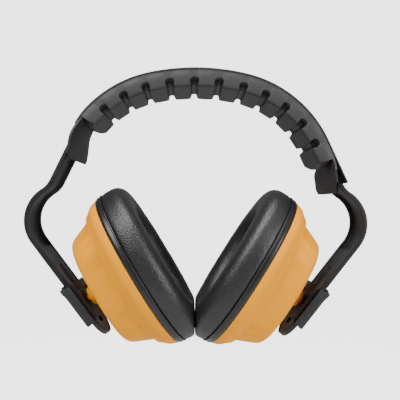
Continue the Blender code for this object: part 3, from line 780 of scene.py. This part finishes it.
def shell_rings():
    """The shell's skin from inside the boss, over the outer face, to the rim and back along the inside."""
    rings = [ring_of(level, r, r, round_radius, 0.0) for level, r, _ in softened(BOSS)]
    for level, along, share in CROWN:
        shape = mixed(round_radius, dome_radius, share)
        rings.append(ring_of(level, along, along * CROWN_WIDTH, shape, share))
    rings += [ring_of(*row, dome_radius) for row in softened(DOME)]
    for i, row in enumerate(softened(RIM)):
        rings.append(ring_of(*row, mixed(dome_radius, oval_radius, min(1.0, 0.3 + i / 6))))
    return rings + [ring_of(*row, dome_radius) for row in INSIDE]


def make_shell(name, frame_of):
    mesh = loft(f"{name}_shell", shell_rings(), closed=True, sharp=38)
    mesh.transform(frame_of)
    piece(f"{name}_cup", mesh, YELLOW, f"{name}_cup", [f"{name}_cup_shell"])


def make_plate(name, frame_of):
    rings = [ring_of(*row, oval_radius) for row in softened(PLATE_RING)[:-1]]
    mesh = loft(f"{name}_plate", rings, closed=True, sharp=38)
    mesh.transform(frame_of)
    piece(f"{name}_plate", mesh, PLATE, f"{name}_cup", [f"{name}_seal_plate"])


def smooth_line(points, repeats):
    """The open line with its corners cut at a quarter, so many times."""
    for _ in range(repeats):
        made = [points[0]]
        for a, b in zip(points, points[1:]):
            made.append((a[0] * 0.75 + b[0] * 0.25, a[1] * 0.75 + b[1] * 0.25))
            made.append((a[0] * 0.25 + b[0] * 0.75, a[1] * 0.25 + b[1] * 0.75))
        points = made + [points[-1]]
    return points


def press(point, limit):
    """A cushion's point, moved if it is past the flat where the two cushions push on each other."""
    angle = math.radians(CUP_ANGLE)
    across = Vector((math.sin(angle), 0, math.cos(angle)))
    soft = CONTACT_SOFTNESS
    over = point.dot(across) / MM - (limit - soft)
    if over <= 0:
        return point
    return point - across * (over - soft * (1 - math.exp(-over / soft))) * MM


def cushion_swell(point, inset, level, angle):
    """How far the skin stands out here: slow and fine unevenness, and puckers along the seam."""
    swell = SLOW_SWELL * noise.noise(point * 0.055 + Vector((7.1, 3.3, 1.9)))
    swell += FINE_SWELL * noise.noise(point * 0.16)
    near_seam = max(0.0, 1 - abs(level - SEAM_LEVEL) / SEAM_REACH) if inset < 6 else 0.0
    pucker = 0.5 + 0.5 * math.sin(angle * PUCKERS + 2 * math.sin(angle * 7))
    return swell - PUCKER_DEPTH * near_seam * pucker


def make_cushion(name, frame_of):
    limit = abs(frame_of.translation.x) / MM - CONTACT_GAP
    rings = []
    for inset, level in smooth_line(CUSHION_LINE, 2):
        ring = []
        for i in range(CUSHION_RING):
            angle = 2 * math.pi * i / CUSHION_RING
            r = oval_radius(CUSHION[0] - inset, CUSHION[1] - inset, angle)
            point = Vector((CUP_CENTRE + r * math.cos(angle), r * math.sin(angle), level))
            across = Vector((math.cos(angle), math.sin(angle), 0))
            lean = (CREST_INSET - inset) / CREST_INSET
            out = across * lean + Vector((0, 0, 1 - abs(lean)))
            point += out * cushion_swell(point, inset, level, angle)
            ring.append(press(point * MM, limit))
        rings.append(ring)
    mesh = loft(f"{name}_cushion", rings, closed=True, sharp=60)
    mesh.transform(frame_of)
    made = piece(f"{name}_cushion", mesh, LEATHER, f"{name}_cup",
                 [f"{name}_cushion_skin", f"{name}_cushion_foam"])


def make_liner(name, frame_of):
    """The foam bowl inside the cup, with a soft uneven face."""
    rings = []
    for row in softened(LINER):
        ring = ring_of(*row, mixed(dome_radius, oval_radius, 0.5), count=LINER_RING)
        rings.append([p + p.normalized() * 0.5 * MM * noise.noise(p * 260) for p in ring])
    mesh = loft(f"{name}_liner", rings, sharp=50)
    mesh.transform(frame_of)
    made = piece(f"{name}_liner", mesh, FOAM, f"{name}_cup",
                 [f"{name}_acoustic_foam"])


make_headband()
make_pad()
make_cover()
for side_name, side_sign in SIDES.items():
    make_flap(side_name, side_sign)
    make_clip(side_name, side_sign)
    make_socket(side_name, side_sign)
    cup = cup_frame(side_sign)
    make_shell(side_name, cup)
    make_plate(side_name, cup)
    make_cushion(side_name, cup)
    make_liner(side_name, cup)
    for node, material in (("ball_stud", STUD), ("cushion_backing", PLATE)):
        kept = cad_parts[f"{side_name}_{node}"]
        kept.data.materials.clear()
        kept.data.materials.append(material)


# ---------------------------------------------------------------- stage, light and camera

# In metres: the floor's front edge, half width and drop below the object, and the cove and wall behind.
FLOOR_FRONT, FLOOR_HALF, FLOOR_DROP = -2.5, 3.5, 0.36
COVE_START, COVE, WALL_TOP = 1.2, 0.8, 3.5
FLOOR_GLOW = 3.0
WORLD_STRENGTH = 0.12

CAMERA_PLACE = (-0.003, -0.310, -0.0646)
CAMERA_LINE = (0.003, 0.310, 0)
CAMERA_ROLL = 0.7
CAMERA_LENS, CAMERA_SENSOR = 48.06, 36.0
CAMERA_SHIFT = (0.0095, 0.010)


def pale_floor(glow):
    """A white floor that glows only as the camera sees it, so that it throws no light on the object."""
    made, tree, shader = node_material("floor", (0.8, 0.8, 0.8), 0.9, specular=0.0)
    shader.inputs["Emission Color"].default_value = (1, 1, 1, 1)
    path = add(tree, "ShaderNodeLightPath")
    tree.links.new(arithmetic(tree, path.outputs["Is Camera Ray"], glow), shader.inputs["Emission Strength"])
    return made


def make_stage():
    """A floor that curves up into a wall behind the object."""
    build = bmesh.new()
    line = [(FLOOR_FRONT, 0.0), (COVE_START, 0.0)]
    for degrees in range(10, 91, 10):
        angle = math.radians(degrees)
        line.append((COVE_START + COVE * math.sin(angle), COVE - COVE * math.cos(angle)))
    line.append((COVE_START + COVE, WALL_TOP))
    rows = [[build.verts.new((x, y, z - FLOOR_DROP)) for y, z in line] for x in (-FLOOR_HALF, FLOOR_HALF)]
    for i in range(len(line) - 1):
        build.faces.new((rows[0][i], rows[0][i + 1], rows[1][i + 1], rows[1][i]))
    floor = helper("floor", finish_mesh("floor", build, 180))
    floor.data.materials.append(pale_floor(FLOOR_GLOW))


def area_light(name, place, target, size, power, shape_y=None):
    data = bpy.data.lights.new(name, "AREA")
    data.energy = power
    data.size = size
    if shape_y:
        data.shape = "RECTANGLE"
        data.size_y = shape_y
    lamp = bpy.data.objects.new(name, data)
    bpy.context.scene.collection.objects.link(lamp)
    lamp.location = place
    lamp.rotation_mode = "QUATERNION"
    lamp.rotation_quaternion = (Vector(target) - Vector(place)).to_track_quat("-Z", "Y")


def make_light():
    world = bpy.data.worlds.new("studio")
    bpy.context.scene.world = world
    world.use_nodes = True
    background = world.node_tree.nodes["Background"]
    background.inputs["Color"].default_value = (1, 1, 1, 1)
    background.inputs["Strength"].default_value = WORLD_STRENGTH
    area_light("overhead", (0.0, -0.20, 0.60), (0, 0, -0.06), 0.45, 6.0)
    area_light("right_box", (0.65, -0.55, 0.10), (0.02, 0, -0.07), 0.30, 5.2, 0.5)
    area_light("left_box", (-0.36, -0.48, 0.42), (0, 0, -0.07), 0.45, 5.6)


def make_camera():
    data = bpy.data.cameras.new("camera")
    data.sensor_width = CAMERA_SENSOR
    data.lens = CAMERA_LENS
    data.shift_x, data.shift_y = CAMERA_SHIFT
    data.clip_start, data.clip_end = 0.01, 20.0
    camera = bpy.data.objects.new("camera", data)
    bpy.context.scene.collection.objects.link(camera)
    camera.location = CAMERA_PLACE
    camera.rotation_mode = "QUATERNION"
    level = Vector(CAMERA_LINE).to_track_quat("-Z", "Y")
    camera.rotation_quaternion = level @ Quaternion((0, 0, 1), math.radians(CAMERA_ROLL))
    bpy.context.scene.camera = camera


make_stage()
make_light()
make_camera()
